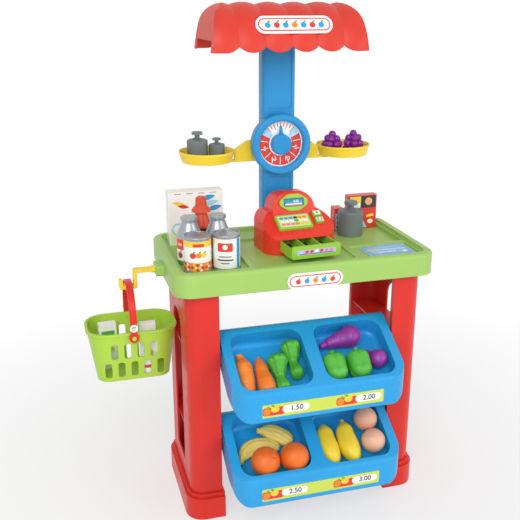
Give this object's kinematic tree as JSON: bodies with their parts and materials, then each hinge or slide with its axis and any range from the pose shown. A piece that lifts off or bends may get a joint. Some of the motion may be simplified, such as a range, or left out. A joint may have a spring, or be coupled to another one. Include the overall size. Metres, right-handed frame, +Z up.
{
  "type": "toy market stall",
  "caption": "Toy market stall: counter on two legs with sloping bins, rocking balance scale under an awning, cash register with drawer, hanging basket and play goods.",
  "frame": {"origin": "on the floor, midway between the two feet from side to side and from front to back", "axes": "+Z up, +X to the right seen from the front, front of the stall faces -Y"},
  "size_m": [0.574, 0.3215, 0.821],
  "materials": {
    "red_plastic": "satin moulded",
    "awning_plastic": "satin moulded",
    "green_plastic": "satin moulded",
    "blue_plastic": "satin moulded",
    "yellow_plastic": "satin moulded",
    "basket_plastic": "satin moulded",
    "white_print": "printed",
    "screen_print": "printed",
    "steel": "drawn wire",
    "weight_plastic": "fine textured",
    "silver_plastic": "metallic paint",
    "grape_plastic": "satin moulded",
    "orange_plastic": "satin moulded",
    "leaf_plastic": "satin moulded",
    "banana_plastic": "satin moulded",
    "peach_plastic": "satin moulded",
    "card_board": "printed board"
  },
  "bodies": {
    "stand": {"left_foot": "red_plastic", "right_foot": "red_plastic", "left_leg": "red_plastic", "right_leg": "red_plastic", "counter": "green_plastic", "upper_tray": "blue_plastic", "lower_tray": "blue_plastic", "hook": "yellow_plastic", "column_front": "blue_plastic", "column_back": "blue_plastic", "dial_ring": "blue_plastic", "dial_face": "white_print", "awning": "awning_plastic"},
    "beam": {"scale_beam": "yellow_plastic", "scale_axle": "steel", "dial_pointer": "blue_plastic", "left_pan": "yellow_plastic", "right_pan": "yellow_plastic"},
    "register": {"register_shell": "red_plastic", "register_base": "red_plastic", "display_bezel": "green_plastic", "display_screen": "screen_print", "keypad": "green_plastic"},
    "drawer": {"cash_drawer": "green_plastic"},
    "key_one": {"upper_key": "white_print"},
    "key_two": {"lower_key": "white_print"},
    "handle": {"basket_handle": "red_plastic"},
    "tub": {"basket_tub": "basket_plastic"},
    "large_weight_piece": {"large_weight": "weight_plastic"},
    "small_weight_piece": {"small_weight": "weight_plastic"},
    "medium_weight_piece": {"medium_weight": "weight_plastic"},
    "left_grapes_piece": {"left_grapes": "grape_plastic"},
    "right_grapes_piece": {"right_grapes": "grape_plastic"},
    "basket_carton_piece": {"basket_carton": "card_board"},
    "basket_packet_piece": {"basket_packet": "card_board"},
    "left_can_piece": {"left_can": "silver_plastic"},
    "right_can_piece": {"right_can": "silver_plastic"},
    "left_churn_piece": {"left_churn": "silver_plastic"},
    "right_churn_piece": {"right_churn": "silver_plastic"},
    "sauce_bottle_piece": {"sauce_bottle": "orange_plastic"},
    "milk_carton_piece": {"milk_carton": "card_board"},
    "tall_box_piece": {"tall_box": "card_board"},
    "small_box_piece": {"small_box": "card_board"},
    "pay_card_piece": {"pay_card": "screen_print"},
    "left_carrot_piece": {"left_carrot": "orange_plastic"},
    "right_carrot_piece": {"right_carrot": "orange_plastic"},
    "left_greens_piece": {"left_greens": "leaf_plastic"},
    "right_greens_piece": {"right_greens": "leaf_plastic"},
    "eggplant_piece": {"eggplant": "grape_plastic"},
    "left_pepper_piece": {"left_pepper": "leaf_plastic"},
    "right_pepper_piece": {"right_pepper": "leaf_plastic"},
    "onion_piece": {"onion": "grape_plastic"},
    "front_bananas_piece": {"front_bananas": "banana_plastic"},
    "back_bananas_piece": {"back_bananas": "banana_plastic"},
    "left_orange_piece": {"left_orange": "orange_plastic"},
    "right_orange_piece": {"right_orange": "orange_plastic"},
    "left_mango_piece": {"left_mango": "banana_plastic"},
    "right_mango_piece": {"right_mango": "banana_plastic"},
    "back_peach_piece": {"back_peach": "peach_plastic"},
    "front_peach_piece": {"front_peach": "peach_plastic"}
  },
  "joints": [
    {"name": "beam_tilt", "type": "hinge", "parent": "stand", "child": "beam", "pos_m": [0, 0.091, 0.594], "axis": [0, 1, 0], "range_deg": [-10, 10]},
    {"name": "register_lift", "type": "slide", "parent": "stand", "child": "register", "axis": [0, -0.6, 0.8], "range_m": [0, 0.1]},
    {"name": "drawer_slide", "type": "slide", "parent": "register", "child": "drawer", "axis": [0.0698, -0.9976, 0], "range_m": [-0.0457, 0.016]},
    {"name": "upper_key_press", "type": "slide", "parent": "register", "child": "key_one", "axis": [-0.0351, 0.5026, -0.8638], "range_m": [0, 0.002], "stiffness_N_per_m": 120},
    {"name": "lower_key_press", "type": "slide", "parent": "register", "child": "key_two", "axis": [-0.0351, 0.5026, -0.8638], "range_m": [0, 0.002], "stiffness_N_per_m": 120},
    {"name": "handle_rock", "type": "hinge", "parent": "stand", "child": "handle", "pos_m": [-0.2725, 0.014, 0.382], "axis": [0, 1, 0], "range_deg": [-1, 8]},
    {"name": "tub_swing", "type": "hinge", "parent": "handle", "child": "tub", "pos_m": [-0.2725, 0.014, 0.31478], "axis": [0, 1, 0], "range_deg": [-4, 6]},
    {"name": "large_weight_lift", "type": "slide", "parent": "stand", "child": "large_weight_piece", "axis": [0, -0.6, 0.8], "range_m": [0, 0.12]},
    {"name": "small_weight_lift", "type": "slide", "parent": "beam", "child": "small_weight_piece", "axis": [0, 0, 1], "range_m": [0, 0.06]},
    {"name": "medium_weight_lift", "type": "slide", "parent": "beam", "child": "medium_weight_piece", "axis": [0, 0, 1], "range_m": [0, 0.06]},
    {"name": "left_grapes_lift", "type": "slide", "parent": "beam", "child": "left_grapes_piece", "axis": [0, 0, 1], "range_m": [0, 0.06]},
    {"name": "right_grapes_lift", "type": "slide", "parent": "beam", "child": "right_grapes_piece", "axis": [0, 0, 1], "range_m": [0, 0.06]},
    {"name": "basket_carton_lift", "type": "slide", "parent": "tub", "child": "basket_carton_piece", "axis": [0, 0, 1], "range_m": [0, 0.088]},
    {"name": "basket_packet_lift", "type": "slide", "parent": "tub", "child": "basket_packet_piece", "axis": [0, 0, 1], "range_m": [0, 0.088]},
    {"name": "left_can_lift", "type": "slide", "parent": "stand", "child": "left_can_piece", "axis": [0, 0, 1], "range_m": [0, 0.09]},
    {"name": "right_can_lift", "type": "slide", "parent": "stand", "child": "right_can_piece", "axis": [0, 0, 1], "range_m": [0, 0.09]},
    {"name": "left_churn_lift", "type": "slide", "parent": "stand", "child": "left_churn_piece", "axis": [0, 0, 1], "range_m": [0, 0.09]},
    {"name": "right_churn_lift", "type": "slide", "parent": "stand", "child": "right_churn_piece", "axis": [0, 0, 1], "range_m": [0, 0.09]},
    {"name": "sauce_bottle_lift", "type": "slide", "parent": "stand", "child": "sauce_bottle_piece", "axis": [0, 0, 1], "range_m": [0, 0.036]},
    {"name": "milk_carton_lift", "type": "slide", "parent": "stand", "child": "milk_carton_piece", "axis": [0, 0, 1], "range_m": [0, 0.044]},
    {"name": "tall_box_lift", "type": "slide", "parent": "stand", "child": "tall_box_piece", "axis": [0, 0, 1], "range_m": [0, 0.044]},
    {"name": "small_box_lift", "type": "slide", "parent": "stand", "child": "small_box_piece", "axis": [0, 0, 1], "range_m": [0, 0.044]},
    {"name": "pay_card_lift", "type": "slide", "parent": "stand", "child": "pay_card_piece", "axis": [0, 0, 1], "range_m": [0, 0.06]},
    {"name": "left_carrot_lift", "type": "slide", "parent": "stand", "child": "left_carrot_piece", "axis": [0, -0.5, 0.866], "range_m": [0, 0.07]},
    {"name": "right_carrot_lift", "type": "slide", "parent": "stand", "child": "right_carrot_piece", "axis": [0, -0.5, 0.866], "range_m": [0, 0.07]},
    {"name": "left_greens_lift", "type": "slide", "parent": "stand", "child": "left_greens_piece", "axis": [0, -0.5, 0.866], "range_m": [0, 0.07]},
    {"name": "right_greens_lift", "type": "slide", "parent": "stand", "child": "right_greens_piece", "axis": [0, -0.5, 0.866], "range_m": [0, 0.07]},
    {"name": "eggplant_lift", "type": "slide", "parent": "stand", "child": "eggplant_piece", "axis": [0, -0.5, 0.866], "range_m": [0, 0.07]},
    {"name": "left_pepper_lift", "type": "slide", "parent": "stand", "child": "left_pepper_piece", "axis": [0, -0.5, 0.866], "range_m": [0, 0.07]},
    {"name": "right_pepper_lift", "type": "slide", "parent": "stand", "child": "right_pepper_piece", "axis": [0, -0.5, 0.866], "range_m": [0, 0.07]},
    {"name": "onion_lift", "type": "slide", "parent": "stand", "child": "onion_piece", "axis": [0, -0.5, 0.866], "range_m": [0, 0.07]},
    {"name": "front_bananas_lift", "type": "slide", "parent": "stand", "child": "front_bananas_piece", "axis": [0, -0.5, 0.866], "range_m": [0, 0.048]},
    {"name": "back_bananas_lift", "type": "slide", "parent": "stand", "child": "back_bananas_piece", "axis": [0, -0.5, 0.866], "range_m": [0, 0.048]},
    {"name": "left_orange_lift", "type": "slide", "parent": "stand", "child": "left_orange_piece", "axis": [0, -0.5, 0.866], "range_m": [0, 0.048]},
    {"name": "right_orange_lift", "type": "slide", "parent": "stand", "child": "right_orange_piece", "axis": [0, -0.5, 0.866], "range_m": [0, 0.048]},
    {"name": "left_mango_lift", "type": "slide", "parent": "stand", "child": "left_mango_piece", "axis": [0, -0.5, 0.866], "range_m": [0, 0.048]},
    {"name": "right_mango_lift", "type": "slide", "parent": "stand", "child": "right_mango_piece", "axis": [0, -0.5, 0.866], "range_m": [0, 0.048]},
    {"name": "back_peach_lift", "type": "slide", "parent": "stand", "child": "back_peach_piece", "axis": [0, -0.5, 0.866], "range_m": [0, 0.048]},
    {"name": "front_peach_lift", "type": "slide", "parent": "stand", "child": "front_peach_piece", "axis": [0, -0.5, 0.866], "range_m": [0, 0.048]}
  ]
}
